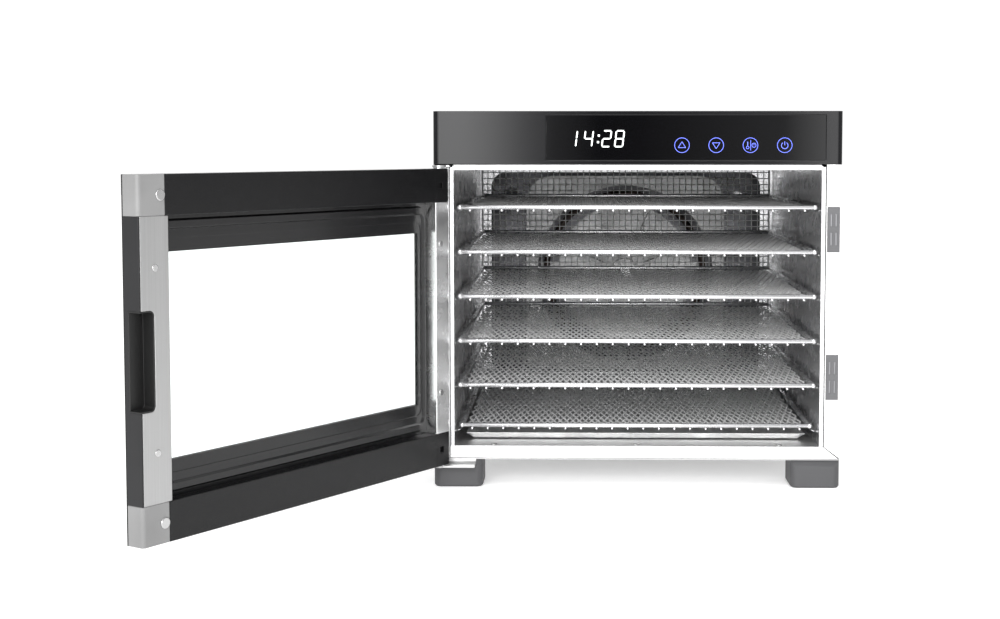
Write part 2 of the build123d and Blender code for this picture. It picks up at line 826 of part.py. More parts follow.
def edge_strip():
    strip = block((strip_inner, half_door), (frame_outer, door_inner), (frame_bottom, frame_top))
    return strip - notch(0, (notch_floor, door_inner + 1))


def finger_cup():
    body = notch(0, (notch_floor, door_inner))
    body &= block((0, half_door), (notch_floor, door_inner), (frame_bottom, frame_top))
    return body - notch(-notch_liner, (notch_floor + notch_liner, door_inner + 1))


def bezel_ring(outer, inner, depth, outer_corner=0.0, inner_corner=0.0):
    """A frame between two outlines, each drawn in from the door frame by a side and an end inset."""
    width, height = frame_right - frame_left, frame_top - frame_bottom

    def outline(inset, corner):
        size = (width - 2 * inset[0], height - 2 * inset[1])
        return RectangleRounded(*size, corner) if corner else Rectangle(*size)

    middle = Pos((frame_left + frame_right) / 2, (frame_bottom + frame_top) / 2)
    return front_plate(middle * (outline(outer, outer_corner) - outline(inner, inner_corner)), depth)


def door_bezel():
    """A stepped black frame round the glass, with a rounded bead."""
    base, step = glass_front + bezel_base, glass_front + bezel_base + bezel_step
    flat = bezel_ring((0, 0), (bezel_side_width, bezel_end_width), (glass_front, base))
    raised = bezel_ring((0, 0), (bezel_step_side, bezel_step_end), (base, step), 0.0, bezel_step_corner)
    bead = bezel_ring((bead_start_side, bead_start_end),
                      (bead_start_side + bead_width_side, bead_start_end + bead_width_end),
                      (step, step + bead_height), bead_corner, bead_corner - bead_width_side)
    return flat + raised + chamfer(bead.faces().sort_by(Axis.Y)[-1].edges(), bead_round)


def door_glass():
    return block((opening_left - glass_lap, opening_right + glass_lap), (frame_outer, glass_front),
                 (opening_bottom - glass_lap, opening_top + glass_lap))


def door_gasket():
    """The packing between the edge of the glass and the frame."""
    return bezel_ring((0, 0), (bezel_side_width - glass_lap, bezel_end_width - glass_lap), (frame_outer, glass_front))


def door_screws():
    corner, small = dome(corner_screw_radius, corner_screw_height), dome(stile_screw_radius, stile_screw_height)
    corner_heights = (door_bottom + rail_width / 2, door_top - rail_width / 2)
    stile_heights = (door_bottom + door_height / 4, door_top - door_height / 4)
    places = [(corner, half_door - corner_screw_inset, z) for z in corner_heights]
    places += [(small, x, z) for x in (hinge_screw_inset - half_door, half_door - handle_screw_inset)
               for z in stile_heights]
    return Compound(children=[Pos(x, door_inner, z) * Rot(-90, 0, 0) * head for head, x, z in places])


# ---- trays -----------------------------------------------------------------------------------
def tray_frame():
    """Perimeter rods with ball ends and front-to-back wires, front at y 0, rods at z 0."""
    side = tray_width / 2 - rod_ball_radius
    back = tray_depth - rod_ball_radius
    front = rod_ball_radius
    rods = [bar_x(rod_radius, y, 0, (-side, side)) for y in (front, back)]
    rods += [bar_y(rod_radius, x, 0, (front, back)) for x in (-side, side)]
    balls = [Pos(x, y, 0) * Sphere(rod_ball_radius) for x in (-side, side) for y in (front, back)]
    drop = -rod_radius - wire_radius + weld_sink
    first = -wire_pitch * (wire_count - 1) / 2
    wires = [bar_y(wire_radius, first + wire_pitch * i, drop, (front, back)) for i in range(wire_count)]
    return Part() + rods + balls + wires


def tray_mesh():
    """The expanded metal sheet that lies on the wires, inside the rods."""
    bottom = -rod_radius + weld_sink + mesh_lift
    side = tray_width / 2 - rod_ball_radius - rod_radius - mesh_edge_gap
    start = rod_ball_radius + rod_radius + mesh_edge_gap
    return block((-side, side), (start, tray_depth - start), (bottom, bottom + mesh_thickness))


def tray_front(level):
    """How far behind the front plane a tray's front lies at rest."""
    return lowest_tray_setback if level == 0 else tray_setback


def drip_tray():
    floor = cavity_floor + screw_head + running_gap
    half, slope, sheet = drip_width / 2, drip_slope, drip_sheet
    depth_middle = drip_setback + drip_depth / 2

    def pan(grow, bottom, top):
        low = Rectangle(2 * (half - slope - grow), drip_depth - 2 * (slope + grow))
        high = Rectangle(2 * (half - grow), drip_depth - 2 * grow)
        low_face = Pos(0, depth_middle, bottom) * low
        high_face = Pos(0, depth_middle, top) * high
        return loft([low_face, high_face])

    return pan(0, floor, floor + drip_height) - pan(sheet * 1.5, floor + sheet, floor + drip_height + 0.001)


# ---- assembly --------------------------------------------------------------------------------
def opened(part):
    """A door piece, turned about the hinge pins from closed to its place at rest."""
    return Pos(pivot_x, pivot_y) * Rot(0, 0, -door_open_angle) * Pos(-pivot_x, -pivot_y) * part


def cabinet_nodes():
    return {
        "side_panel_right": side_panel(),
        "side_panel_left": mirrored(side_panel()),
        "top_panel": top_panel(),
        "base_pan": base_pan(),
        "rear_panel": rear_panel(),
        "front_flanges": front_flanges(),
        "control_fascia": control_fascia(),
        "display_window": display_window(),
        "display_board": display_board(),
        "touch_pads": touch_pads(),
        "power_board": power_board(),
        "board_standoffs": board_standoffs(),
        "liner_side_right": liner_side(),
        "liner_side_left": mirrored(liner_side()),
        "liner_ceiling": liner_ceiling(),
        "liner_floor": liner_floor(),
        "cavity_fasteners": cavity_fasteners(),
        "tray_runners": tray_runners(),
        "rear_wall": rear_wall(),
        "wire_guard": wire_guard(),
        "air_baffle": air_baffle(),
        "baffle_posts": baffle_posts(),
        "plenum_walls": plenum_walls(),
        "fan_bulkhead": fan_bulkhead(),
        "motor_bracket": motor_bracket(),
        "fan_motor": fan_motor(),
        "heating_element": heating_element(),
        "thermostat": thermostat(),
        "temperature_sensor": temperature_sensor(),
        "cord_gland": cord_gland(),
        "feet": feet(),
        "hinge_bracket_lower": hinge_bracket_lower(),
        "hinge_bracket_upper": hinge_bracket_upper(),
        "hinge_pins": hinge_pins(),
        "hinge_washers": hinge_washers(),
        "catch_plates": catch_plates(),
        "catch_poles": catch_poles(),
    }


def door_nodes():
    low, high = door_bottom, frame_top
    closed = {
        "door_panel": door_panel(),
        "door_rail_top": door_rail(high),
        "door_rail_bottom": door_rail(low),
        "door_hinge_stile": hinge_stile(),
        "door_handle_stile": handle_stile(),
        "door_edge_strip": edge_strip(),
        "door_hinge_corners": Compound(children=[hinge_corner_cap(z) for z in (low, high)]),
        "door_free_corners": Compound(children=[free_corner_cap(z) for z in (low, high)]),
        "door_finger_cup": finger_cup(),
        "door_bezel": door_bezel(),
        "door_glass": door_glass(),
        "door_gasket": door_gasket(),
        "door_screws": door_screws(),
    }
    return {name: opened(part) for name, part in closed.items()}


def fan_nodes():
    return {"fan_shaft": motor_shaft(), "fan_impeller": fan_impeller(), "fan_nut": impeller_nut()}


def tray_nodes():
    nodes = {}
    frame, mesh = tray_frame(), tray_mesh()
    for level in range(tray_count):
        place = Pos(0, tray_front(level), tray_height(level))
        nodes[f"tray_{level + 1}"] = Compound(children=[*(place * frame).solids(), *(place * mesh).solids()])
    return nodes


nodes = {**cabinet_nodes(), **door_nodes(), **fan_nodes(), **tray_nodes(), "drip_tray": drip_tray()}
boxes = [part.bounding_box() for part in nodes.values()]
origin_x = (min(box.min.X for box in boxes) + max(box.max.X for box in boxes)) / 2
origin_y = (min(box.min.Y for box in boxes) + max(box.max.Y for box in boxes)) / 2


def write_nodes():
    os.makedirs("parts", exist_ok=True)
    for name, part in nodes.items():
        export_step(Pos(-origin_x, -origin_y) * part, f"parts/{name}.step")


write_nodes()
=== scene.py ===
import json
import math

import bmesh
import bpy
import numpy as np
from mathutils import Matrix, Vector

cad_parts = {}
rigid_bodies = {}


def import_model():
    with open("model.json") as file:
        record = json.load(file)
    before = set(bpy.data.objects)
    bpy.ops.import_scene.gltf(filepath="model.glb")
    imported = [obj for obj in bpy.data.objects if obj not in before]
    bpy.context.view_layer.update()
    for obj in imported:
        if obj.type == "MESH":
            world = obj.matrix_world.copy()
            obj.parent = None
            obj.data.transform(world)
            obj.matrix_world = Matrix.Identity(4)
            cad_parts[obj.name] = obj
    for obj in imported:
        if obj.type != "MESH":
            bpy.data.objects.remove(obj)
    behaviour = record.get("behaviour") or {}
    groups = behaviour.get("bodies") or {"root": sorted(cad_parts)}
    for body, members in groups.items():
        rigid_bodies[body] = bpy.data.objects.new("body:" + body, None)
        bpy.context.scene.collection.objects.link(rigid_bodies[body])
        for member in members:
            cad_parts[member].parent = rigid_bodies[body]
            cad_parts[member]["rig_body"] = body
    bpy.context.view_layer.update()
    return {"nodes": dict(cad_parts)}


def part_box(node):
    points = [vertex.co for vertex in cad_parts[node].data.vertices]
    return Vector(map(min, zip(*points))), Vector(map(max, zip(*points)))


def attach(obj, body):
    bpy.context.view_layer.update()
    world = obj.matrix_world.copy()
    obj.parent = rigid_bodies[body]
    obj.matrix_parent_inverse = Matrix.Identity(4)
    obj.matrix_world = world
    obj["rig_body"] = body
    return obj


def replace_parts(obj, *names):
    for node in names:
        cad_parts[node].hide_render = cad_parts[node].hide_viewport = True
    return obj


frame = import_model()
NODES = frame["nodes"]
MM = 0.001

TRAY_COUNT = sum(name.startswith("tray_") and name[5:].isdigit() for name in NODES)


# ---- materials -------------------------------------------------------------------------------
class Shader:
    """A Principled material and the nodes that feed it."""

    def __init__(self, name, colour, roughness, metallic=0.0):
        self.material = bpy.data.materials.new(name)
        self.material.use_nodes = True
        self.tree = self.material.node_tree
        self.surface = self.tree.nodes["Principled BSDF"]
        self.set("Base Color", (*colour, 1.0))
        self.set("Roughness", roughness)
        self.set("Metallic", metallic)

    def set(self, socket, value):
        self.surface.inputs[socket].default_value = value

    def node(self, kind, **settings):
        made = self.tree.nodes.new(kind)
        for key, value in settings.items():
            if hasattr(made, key):
                setattr(made, key, value)
            else:
                made.inputs[key.replace("_", " ")].default_value = value
        return made

    def join(self, source, target):
        self.tree.links.new(source, target)

    def noise(self, stretch, detail=4.0, rough=0.6):
        """Noise on object coordinates. stretch holds the grains per metre along X, Y and Z."""
        place = self.node("ShaderNodeTexCoord")
        scale = self.node("ShaderNodeMapping", Scale=stretch)
        self.join(place.outputs["Object"], scale.inputs["Vector"])
        grain = self.node("ShaderNodeTexNoise", Scale=1.0, Detail=detail, Roughness=rough)
        self.join(scale.outputs["Vector"], grain.inputs["Vector"])
        return grain.outputs["Fac"]

    def spread(self, source, low, high, start=0.3, end=0.7):
        """A value from low to high as the source goes from start to end."""
        remap = self.node("ShaderNodeMapRange")
        for socket, value in (("From Min", start), ("From Max", end), ("To Min", low), ("To Max", high)):
            remap.inputs[socket].default_value = value
        self.join(source, remap.inputs["Value"])
        return remap.outputs["Result"]

    def tint(self, source, dark, light):
        """Base colour between two shades."""
        ramp = self.node("ShaderNodeValToRGB")
        ramp.color_ramp.elements[0].position = 0.3
        ramp.color_ramp.elements[0].color = (*dark, 1.0)
        ramp.color_ramp.elements[1].position = 0.7
        ramp.color_ramp.elements[1].color = (*light, 1.0)
        self.join(source, ramp.inputs["Fac"])
        self.join(ramp.outputs["Color"], self.surface.inputs["Base Color"])

    def rough(self, source, low, high):
        self.join(self.spread(source, low, high), self.surface.inputs["Roughness"])

    def bump(self, source, height, strength=1.0):
        """height is the grain's depth in metres."""
        bump = self.node("ShaderNodeBump", Strength=strength, Distance=height)
        self.join(source, bump.inputs["Height"])
        self.join(bump.outputs["Normal"], self.surface.inputs["Normal"])


def shade(base, factor):
    return tuple(min(1.0, c * factor) for c in base)


def brushed_steel(name, colour, grain, low=0.28, high=0.42):
    """Satin stainless steel. The grain vector is long across the brush lines and short along them."""
    s = Shader(name, colour, 0.3, 1.0)
    lines = s.noise(grain, 3.0, 0.7)
    s.tint(lines, shade(colour, 0.88), shade(colour, 1.1))
    s.rough(lines, low, high)
    s.bump(lines, 0.00003, 0.35)
    return s.material


def polished_steel(name, colour, low=0.07, high=0.16, wave=0.00006, metallic=1.0):
    """Bright sheet steel, with faint handling marks and the slight waves of thin sheet.

    A low metallic value gives the duller, lighter look of fine mesh.
    """
    s = Shader(name, colour, 0.1, metallic)
    marks = s.noise((38, 38, 60), 5.0)
    s.tint(s.noise((6, 6, 6), 2.0), shade(colour, 0.95), shade(colour, 1.04))
    s.rough(marks, low, high)
    s.bump(s.noise((14, 14, 14), 1.0), wave, 0.4)
    return s.material


def plastic(name, colour, low, high, grain_mm, depth, coat=0.0, shine=0.5):
    """Moulded or painted surface with a fine texture."""
    s = Shader(name, colour, low)
    per_metre = 1000 / grain_mm
    fine = s.noise((per_metre,) * 3, 3.0)
    s.tint(s.noise((12, 12, 12), 3.0), shade(colour, 0.85), shade(colour, 1.15))
    s.rough(fine, low, high)
    s.bump(fine, depth, 0.6)
    s.set("Specular IOR Level", shine)
    s.set("Coat Weight", coat)
    s.set("Coat Roughness", 0.06)
    return s.material


def glowing(name, colour, strength):
    """A lit mark of the display, a little uneven as a diffuser is."""
    s = Shader(name, colour, 0.4)
    s.tint(s.noise((900, 900, 900), 2.0), shade(colour, 0.9), colour)
    s.set("Emission Color", (*colour, 1.0))
    s.set("Emission Strength", strength)
    return s.material


def clear_glass(name):
    s = Shader(name, (0.93, 0.97, 0.96), 0.0)
    s.set("Transmission Weight", 1.0)
    s.set("IOR", 1.45)
    s.rough(s.noise((25, 25, 25), 4.0), 0.0, 0.02)
    return s.material


def heater_metal(name):
    s = Shader(name, (0.09, 0.075, 0.07), 0.5, 0.8)
    patches = s.noise((60, 60, 60), 5.0)
    s.tint(patches, (0.05, 0.042, 0.04), (0.17, 0.13, 0.11))
    s.rough(patches, 0.35, 0.65)
    return s.material


STEEL = (0.5, 0.5, 0.505)
BRIGHT = (0.88, 0.88, 0.89)
MATERIALS = {
    "outer_steel": brushed_steel("outer_steel", STEEL, (6, 6, 2200)),
    "top_steel": brushed_steel("top_steel", STEEL, (2200, 6, 6)),
    "stile_steel": brushed_steel("stile_steel", (0.45, 0.45, 0.45), (2600, 2600, 6), 0.36, 0.5),
    "flange_steel": polished_steel("flange_steel", (0.95, 0.95, 0.95), 0.2, 0.32),
    "liner_steel": polished_steel("liner_steel", BRIGHT, 0.2, 0.32),
    "bare_steel": polished_steel("bare_steel", (0.5, 0.5, 0.5), 0.3, 0.45, 0.00003),
    # Dark steel whose grey is painted shade: it stands for the shade deep in the plenum behind the baffle,
    # on the plenum walls and the fan bulkhead. The catch poles use it as well.
    "shaded_steel": polished_steel("shaded_steel", (0.22, 0.22, 0.23), 0.35, 0.5),
    "wire_steel": polished_steel("wire_steel", (0.74, 0.74, 0.75), 0.2, 0.34, 0.00002),
    "sheet_steel": polished_steel("sheet_steel", (0.74, 0.74, 0.74), 0.4, 0.5, 0.00002, 0.15),
    "guard_steel": polished_steel("guard_steel", (0.95, 0.95, 0.95), 0.4, 0.55, 0.00002, 0.1),
    "floor_steel": polished_steel("floor_steel", (0.74, 0.74, 0.74), 0.28, 0.4, 0.00003),
    "screw_steel": polished_steel("screw_steel", (0.5, 0.5, 0.5), 0.2, 0.3, 0.00001),
    "chrome": polished_steel("chrome", (0.9, 0.9, 0.91), 0.08, 0.16, 0.00001),
    "fascia": plastic("fascia", (0.006, 0.006, 0.007), 0.05, 0.08, 0.5, 0.000001, 0.2),
    "window": plastic("window", (0.001, 0.001, 0.0015), 0.02, 0.03, 4.0, 0.0000005),
    "door_black": plastic("door_black", (0.004, 0.004, 0.0045), 0.22, 0.32, 0.35, 0.00001, 0.0, 0.27),
    "door_inner_black": plastic("door_inner_black", (0.004, 0.004, 0.0045), 0.18, 0.26, 0.4, 0.00001,
                                0.05, 0.4),
    "edge_black": plastic("edge_black", (0.016, 0.016, 0.017), 0.36, 0.46, 0.3, 0.00002, 0.0, 0.25),
    "recess_black": plastic("recess_black", (0.004, 0.004, 0.004), 0.4, 0.5, 0.3, 0.00001),
    "corner_grey": plastic("corner_grey", (0.21, 0.21, 0.21), 0.3, 0.4, 0.25, 0.00002, 0.1),
    "foot_grey": plastic("foot_grey", (0.055, 0.055, 0.058), 0.5, 0.62, 0.6, 0.00006),
    "catch_grey": plastic("catch_grey", (0.1, 0.1, 0.105), 0.42, 0.55, 0.4, 0.00004),
    "board_green": plastic("board_green", (0.01, 0.06, 0.025), 0.3, 0.5, 1.5, 0.00004),
    "motor_grey": plastic("motor_grey", (0.16, 0.16, 0.165), 0.4, 0.55, 0.8, 0.00005),
    "heater": heater_metal("heater"),
    "glass": clear_glass("glass"),
    "digits": glowing("digits", (0.95, 1.0, 0.97), 0.85),
    "icons": glowing("icons", (0.12, 0.17, 0.85), 1.0),
}


# ---- pieces ----------------------------------------------------------------------------------
def finish_piece(obj, material, body, smooth_angle=40):
    """Material, soft shading between faces that meet gently, and a place on a body."""
    obj.data.materials.clear()
    obj.data.materials.append(MATERIALS[material])
    obj.data.polygons.foreach_set("use_smooth", [True] * len(obj.data.polygons))
    obj.data.set_sharp_from_angle(angle=math.radians(smooth_angle))
    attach(obj, body)
    return obj


def add_object(name, mesh):
    obj = bpy.data.objects.new(name, mesh)
    bpy.context.scene.collection.objects.link(obj)
    return obj


def dress(node, material, bevel_mm=0.3, segments=2):
    """The visible piece for a CAD node of the same shape, with its sharp edges eased."""
    source = NODES[node]
    mesh = source.data.copy()
    mesh.name = node + "_visual"
    form = bmesh.new()
    form.from_mesh(mesh)
    bmesh.ops.remove_doubles(form, verts=form.verts, dist=1e-6)
    bmesh.ops.dissolve_limit(form, angle_limit=math.radians(0.5), verts=form.verts, edges=form.edges)
    form.to_mesh(mesh)
    form.free()
    piece = add_object(node + "_visual", mesh)
    finish_piece(piece, material, source["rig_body"])
    ease = piece.modifiers.new("eased_edges", "BEVEL")
    ease.width = bevel_mm * MM
    ease.segments = segments
    ease.limit_method = "ANGLE"
    ease.angle_limit = math.radians(35)
    ease.use_clamp_overlap = True
    ease.harden_normals = True
    even = piece.modifiers.new("flat_faces", "WEIGHTED_NORMAL")
    even.keep_sharp = True
    even.weight = 90
    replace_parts(piece, node)
    return piece


def recolour(node, material):
    """A CAD node that is shown as it is."""
    NODES[node].data.materials.clear()
    NODES[node].data.materials.append(MATERIALS[material])


class Form:
    """Collects the vertices and faces of one piece."""

    def __init__(self):
        self.vertices = []
        self.faces = []

    def add(self, vertices, faces):
        start = len(self.vertices)
        self.vertices.extend(tuple(v) for v in vertices)
        self.faces.extend(tuple(start + i for i in face) for face in faces)

    def rod(self, start, end, radius, sides=12):
        """A round rod between two points, with rounded-off ends."""
        start, end = Vector(start), Vector(end)
        along = (end - start).normalized()
        aside = along.orthogonal().normalized()
        across = along.cross(aside)
        ease = radius * 0.3
        rings = ((start, radius - ease), (start + along * ease, radius), (end - along * ease, radius),
                 (end, radius - ease))
        points = []
        for centre, size in rings:
            for i in range(sides):
                turn = 2 * math.pi * i / sides
                points.append(centre + (aside * math.cos(turn) + across * math.sin(turn)) * size)
        faces = [tuple(reversed(range(sides)))]
        for k in range(len(rings) - 1):
            for i in range(sides):
                j = (i + 1) % sides
                faces.append((k * sides + i, k * sides + j, (k + 1) * sides + j, (k + 1) * sides + i))
        faces.append(tuple(range((len(rings) - 1) * sides, len(rings) * sides)))
        self.add(points, faces)

    def ball(self, centre, radius, rings=7, sides=14):
        points = [Vector(centre) + Vector((0, 0, radius))]
        for k in range(1, rings):
            tilt = math.pi * k / rings
            for i in range(sides):
                turn = 2 * math.pi * i / sides
                flat = math.sin(tilt)
                out = Vector((flat * math.cos(turn), flat * math.sin(turn), math.cos(tilt)))
                points.append(Vector(centre) + out * radius)
        points.append(Vector(centre) - Vector((0, 0, radius)))
        last = len(points) - 1
        faces = [(0, 1 + i, 1 + (i + 1) % sides) for i in range(sides)]
        for k in range(rings - 2):
            for i in range(sides):
                j = (i + 1) % sides
                a, b = 1 + k * sides, 1 + (k + 1) * sides
                faces.append((a + i, b + i, b + j, a + j))
        base = 1 + (rings - 2) * sides
        faces += [(last, base + (i + 1) % sides, base + i) for i in range(sides)]
        self.add(points, faces)

    def tile(self, outline, front, back):
        """A flat tile that faces front: XZ points going round, between two depths."""
        count = len(outline)
        points = [(x, front, z) for x, z in outline] + [(x, back, z) for x, z in outline]
        faces = [tuple(range(count)), tuple(reversed(range(count, 2 * count)))]
        faces += [(i, i + count, (i + 1) % count + count, (i + 1) % count) for i in range(count)]
        self.add(points, faces)

    def band(self, centre, radius, width, front, back, start=0.0, sweep=360.0, steps=40):
        """A flat ring or part of one that faces front."""
        closed = sweep >= 360
        count = steps if closed else steps + 1
        points = []
        for i in range(count):
            turn = math.radians(start + sweep * i / steps)
            for size in (radius - width / 2, radius + width / 2):
                x, z = centre[0] + size * math.cos(turn), centre[1] + size * math.sin(turn)
                points += [(x, front, z), (x, back, z)]
        faces = []
        for i in range(steps):
            a, b = 4 * i, 4 * ((i + 1) % count)
            for p, q in ((0, 2), (2, 3), (3, 1), (1, 0)):
                faces.append((a + p, a + q, b + q, b + p))
        if not closed:
            faces += [(0, 1, 3, 2), (4 * steps, 4 * steps + 2, 4 * steps + 3, 4 * steps + 1)]
        self.add(points, faces)

    def stroke(self, start, end, width, front, back):
        """A straight stroke of a symbol, between two XZ points."""
        a, b = Vector(start), Vector(end)
        side = (b - a).normalized().orthogonal() * width / 2
        self.tile([a - side, b - side, b + side, a + side], front, back)

    def piece(self, name, material, body, slot, smooth_angle=40):
        mesh = bpy.data.meshes.new(name)
        mesh.from_pydata(self.vertices, [], self.faces)
        form = bmesh.new()
        form.from_mesh(mesh)
        bmesh.ops.recalc_face_normals(form, faces=form.faces)
        form.to_mesh(mesh)
        form.free()
        return finish_piece(add_object(name, mesh), material, body, smooth_angle)


# ---- trays -----------------------------------------------------------------------------------
ROD = 2.0 * MM
BALL = 2.4 * MM
WIRE = 1.0 * MM
WIRE_PITCH = 13.3 * MM
WIRE_COUNT = 22
WELD_SINK = 0.3 * MM
SHEET_DROP = 1.35 * MM
DIAMOND_X = 5.5 * MM
DIAMOND_Y = 28.4 * MM
STRAND_WIDTH = 1.3 * MM
STRAND_THICKNESS = 0.7 * MM
STRAND_TILT = math.radians(10)


def tray_rods(low, high):
    """Perimeter rods with ball ends, and the front-to-back wires welded under them."""
    form = Form()
    height = high.z - BALL
    left, right = low.x + BALL, high.x - BALL
    front, back = low.y + BALL, high.y - BALL
    for y in (front, back):
        form.rod((left, y, height), (right, y, height), ROD, 16)
    for x in (left, right):
        form.rod((x, front, height), (x, back, height), ROD, 16)
        form.ball((x, front, height), BALL)
        form.ball((x, back, height), BALL)
    middle = (left + right) / 2
    drop = height - ROD - WIRE + WELD_SINK
    for i in range(WIRE_COUNT):
        x = middle + WIRE_PITCH * (i - (WIRE_COUNT - 1) / 2)
        form.rod((x, front - ROD * 0.6, drop), (x, back + ROD * 0.6, drop), WIRE, 10)
    return form


def strand_boxes(starts, ends, width, thickness, tilt):
    """Rectangular strands between points, each turned about its own length by tilt."""
    along = ends - starts
    along /= np.linalg.norm(along, axis=1, keepdims=True)
    up = np.array([0.0, 0.0, 1.0])
    side = np.cross(along, up)
    side /= np.linalg.norm(side, axis=1, keepdims=True)
    turn = np.sign(along[:, 1:2]) * tilt
    wide = side * np.cos(turn) + up * np.sin(turn)
    thick = np.cross(wide, along)
    corners = []
    for points in (starts, ends):
        for i, j in ((-1, -1), (1, -1), (1, 1), (-1, 1)):
            corners.append(points + wide * i * width / 2 + thick * j * thickness / 2)
    vertices = np.stack(corners, axis=1).reshape(-1, 3)
    box = np.array([(0, 1, 5, 4), (1, 2, 6, 5), (2, 3, 7, 6), (3, 0, 4, 7)])
    faces = (np.arange(len(starts))[:, None, None] * 8 + box[None]).reshape(-1, 4)
    return vertices, faces


def expanded_sheet(low, high):
    """Expanded metal: diamonds between staggered knuckles, clipped to the frame."""
    inset = BALL + ROD
    x_count = int((high.x - low.x - 2 * inset) / (DIAMOND_X / 2))
    y_count = int((high.y - low.y - 2 * inset) / (DIAMOND_Y / 2))
    middle_x, middle_y = (low.x + high.x) / 2, (low.y + high.y) / 2
    height = high.z - BALL - SHEET_DROP
    i, j = np.meshgrid(np.arange(x_count), np.arange(y_count), indexing="ij")
    starts, ends = [], []
    for step in (1, -1):
        use = ((i + j) % 2 == 0) & (j + step >= 0) & (j + step < y_count) & (i + 1 < x_count)
        for points, di, dj in ((starts, 0, 0), (ends, 1, step)):
            x = middle_x + (i[use] + di - (x_count - 1) / 2) * DIAMOND_X / 2
            y = middle_y + (j[use] + dj - (y_count - 1) / 2) * DIAMOND_Y / 2
            points.append(np.stack([x, y, np.full(x.shape, height)], axis=1))
    vertices, faces = strand_boxes(np.concatenate(starts), np.concatenate(ends), STRAND_WIDTH,
                                   STRAND_THICKNESS, STRAND_TILT)
    mesh = bpy.data.meshes.new("expanded_sheet")
    mesh.from_pydata(vertices.tolist(), [], faces.tolist())
    return mesh


def make_trays():
    """The rods and the mesh are built once, for the lowest tray, and copied to the others."""
    sheet = None
    first_low, first_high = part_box("tray_1")
    rods = tray_rods(first_low, first_high)
    for level in range(1, TRAY_COUNT + 1):
        node = f"tray_{level}"
        low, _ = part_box(node)
        offset = low - first_low
        frame_piece = Form()
        frame_piece.add([Vector(v) + offset for v in rods.vertices], rods.faces)
        piece = frame_piece.piece(f"{node}_frame", "wire_steel", node, "tray_wire", 50)
        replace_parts(piece, node)
        if sheet is None:
            sheet = expanded_sheet(first_low, first_high)
        mesh = sheet.copy()
        mesh.transform(Matrix.Translation(offset))
        finish_piece(add_object(f"{node}_sheet", mesh), "sheet_steel", node, 30)


# ---- cabinet ---------------------------------------------------------------------------------
def make_guard():
    """The welded wire guard at the back of the cavity, with its folded border."""
    low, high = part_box("wire_guard")
    radius = 0.5 * MM
    border = 4.0 * MM
    pitch = 6.3 * MM
    inset = 1 * MM
    form = Form()
    near, far = low.y + radius, high.y - radius
    for z in (low.z + border / 2, high.z - border / 2):
        form.rod((low.x + inset, far, z), (high.x - inset, far, z), 2 * radius, 12)
    for x in (low.x + border / 2, high.x - border / 2):
        form.rod((x, far, low.z + inset), (x, far, high.z - inset), 2 * radius, 12)
    across = int((high.x - low.x - 2 * border) / pitch)
    up = int((high.z - low.z - 2 * border) / pitch)
    for i in range(across):
        x = (low.x + high.x) / 2 + pitch * (i - (across - 1) / 2)
        form.rod((x, far, low.z + border / 2), (x, far, high.z - border / 2), radius, 8)
    for i in range(up):
        z = (low.z + high.z) / 2 + pitch * (i - (up - 1) / 2)
        form.rod((low.x + border / 2, near, z), (high.x - border / 2, near, z), radius, 8)
    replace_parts(form.piece("wire_guard_mesh", "guard_steel", "cabinet", "tray_wire", 50), "wire_guard")


def make_runners():
    """Slim ledges for the trays, tapered at the front, in place of the plain CAD ones."""
    low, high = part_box("tray_runners")
    depth, height, nose, clearance = 4.9 * MM, 1.5 * MM, 14 * MM, 0.35 * MM
    form = Form()
    for level in range(1, TRAY_COUNT + 1):
        tray_low, tray_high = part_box(f"tray_{level}")
        top = tray_high.z - 2 * BALL - clearance
        for wall, way in ((low.x, 1), (high.x, -1)):
            rings = []
            for y, share in ((low.y, 0.15), (low.y + nose * 0.35, 0.7), (low.y + nose, 1.0), (high.y, 1.0)):
                reach, drop = wall + way * depth * share, height * (0.4 + 0.6 * share)
                rings.append([(wall, y, top), (reach - way * 0.5 * MM, y, top), (reach, y, top - 0.5 * MM),
                              (reach - way * 1.2 * MM, y, top - drop), (wall, y, top - drop - 0.2 * MM)])
            count = len(rings[0])
            faces = [tuple(range(count)), tuple(reversed(range(3 * count, 4 * count)))]
            faces += [(k * count + i, k * count + (i + 1) % count, (k + 1) * count + (i + 1) % count,
                       (k + 1) * count + i) for k in range(3) for i in range(count)]
            form.add([point for ring in rings for point in ring], faces)
    piece = form.piece("tray_runners_visual", "liner_steel", "cabinet", "polished_steel", 50)
    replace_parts(piece, "tray_runners")


SEGMENTS = {
    "1": "bc", "2": "abged", "4": "fgbc", "8": "abcdefg",
}
DIGIT_HEIGHT = 14.2 * MM
DIGIT_WIDTH = 7.6 * MM
DIGIT_PITCH = 10.6 * MM
DIGIT_STROKE = 1.1 * MM
DIGIT_SLANT = 0.12
DIGITS_INSET = 20.0 * MM
DIGITS_DROP = 0.9 * MM
LEADING_ONE_SHIFT = 2.6 * MM
COLON_DOT = 0.8 * MM
DISPLAY_PROUD = 0.05 * MM


def digit(form, character, left, bottom, face):
    """One seven-segment figure, leaning to the right."""
    w, h, t = DIGIT_WIDTH, DIGIT_HEIGHT, DIGIT_STROKE
    gap = 0.18 * t
    half = t / 2
    levels = {"a": h - half, "g": h / 2, "d": half}
    uprights = {"f": (half, h / 2), "b": (w - half, h / 2), "e": (half, 0.0), "c": (w - half, 0.0)}
    for name in SEGMENTS[character]:
        if name in levels:
            z = levels[name]
            outline = [(half + gap, z), (t + gap, z - half), (w - t - gap, z - half), (w - half - gap, z),
                       (w - t - gap, z + half), (t + gap, z + half)]
        else:
            x, base = uprights[name]
            low, high = base + half * (base == 0.0) + gap, base + h / 2 - half * (base > 0.0) - gap
            outline = [(x, low), (x + half, low + half), (x + half, high - half), (x, high),
                       (x - half, high - half), (x - half, low + half)]
        leaned = [(left + x + DIGIT_SLANT * z, bottom + z) for x, z in outline]
        form.tile(leaned, face - DISPLAY_PROUD, face + DISPLAY_PROUD)


